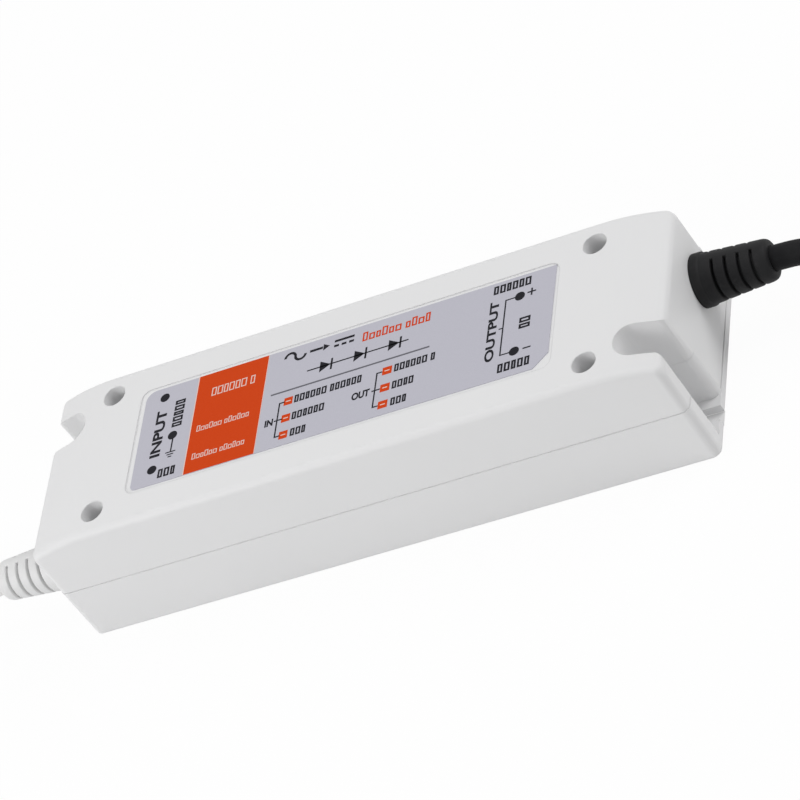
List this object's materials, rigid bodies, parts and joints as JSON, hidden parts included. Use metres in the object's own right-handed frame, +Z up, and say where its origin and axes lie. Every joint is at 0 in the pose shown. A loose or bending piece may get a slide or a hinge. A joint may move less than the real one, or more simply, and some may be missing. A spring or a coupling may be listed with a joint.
{
  "type": "led driver",
  "caption": "Slim white two-part plastic power supply with a black output lead, a white input lead, notched foot slots, screw wells and a printed label.",
  "frame": {"origin": "middle of the housing's underside", "axes": "+X along the housing to the output lead, +Y to the back long side, +Z up to the label"},
  "size_m": [0.464, 0.056, 0.035],
  "materials": {
    "housing_white": "fine moulded texture",
    "label_film": "satin printed film",
    "relief_black": "satin",
    "relief_white": "satin",
    "sheath_black": "satin",
    "sheath_white": "satin",
    "core_brown": "satin",
    "core_blue": "satin",
    "core_earth": "satin, green with a yellow stripe",
    "screw_steel": "zinc plated",
    "board_green": "solder mask",
    "glass_clear": "clear",
    "disc_dark": "dipped coating",
    "disc_blue": "dipped coating",
    "box_yellow": "moulded box",
    "ferrite": "sintered",
    "ring_green": "coated ring",
    "ring_yellow": "coated ring",
    "copper": "enamelled wire",
    "epoxy_black": "moulded",
    "can_sleeve": "shrunk sleeve",
    "heatsink_metal": "plain sheet",
    "coil_tape": "wrapped tape",
    "pad_grey": "soft pad"
  },
  "bodies": {
    "root": {"top_cover": "housing_white", "base_tray": "housing_white", "rating_label": "label_film", "cover_screws": "screw_steel", "output_boot": "relief_black", "input_boot": "relief_white", "output_cord": "sheath_black", "input_cord": "sheath_white", "output_core_brown": "core_brown", "output_core_blue": "core_blue", "input_core_brown": "core_brown", "input_core_blue": "core_blue", "input_core_earth": "core_earth", "circuit_board": "board_green", "input_leads": "core_blue", "output_leads": "core_brown", "fuse": "glass_clear", "inrush_thermistor": "disc_dark", "filter_capacitor": "box_yellow", "choke_core": "ring_green", "choke_windings": "copper", "bridge_rectifier": "epoxy_black", "bulk_capacitors": "can_sleeve", "primary_heatsink": "heatsink_metal", "switching_transistor": "epoxy_black", "transformer_core": "ferrite", "transformer_bobbin": "epoxy_black", "transformer_winding": "coil_tape", "controller_chip": "epoxy_black", "optocoupler": "epoxy_black", "safety_capacitor": "disc_blue", "secondary_heatsink": "heatsink_metal", "output_rectifier": "epoxy_black", "thermal_pads": "pad_grey", "heatsink_screws": "screw_steel", "inductor_core": "ring_yellow", "inductor_winding": "copper", "output_capacitors": "can_sleeve"}
  },
  "joints": []
}
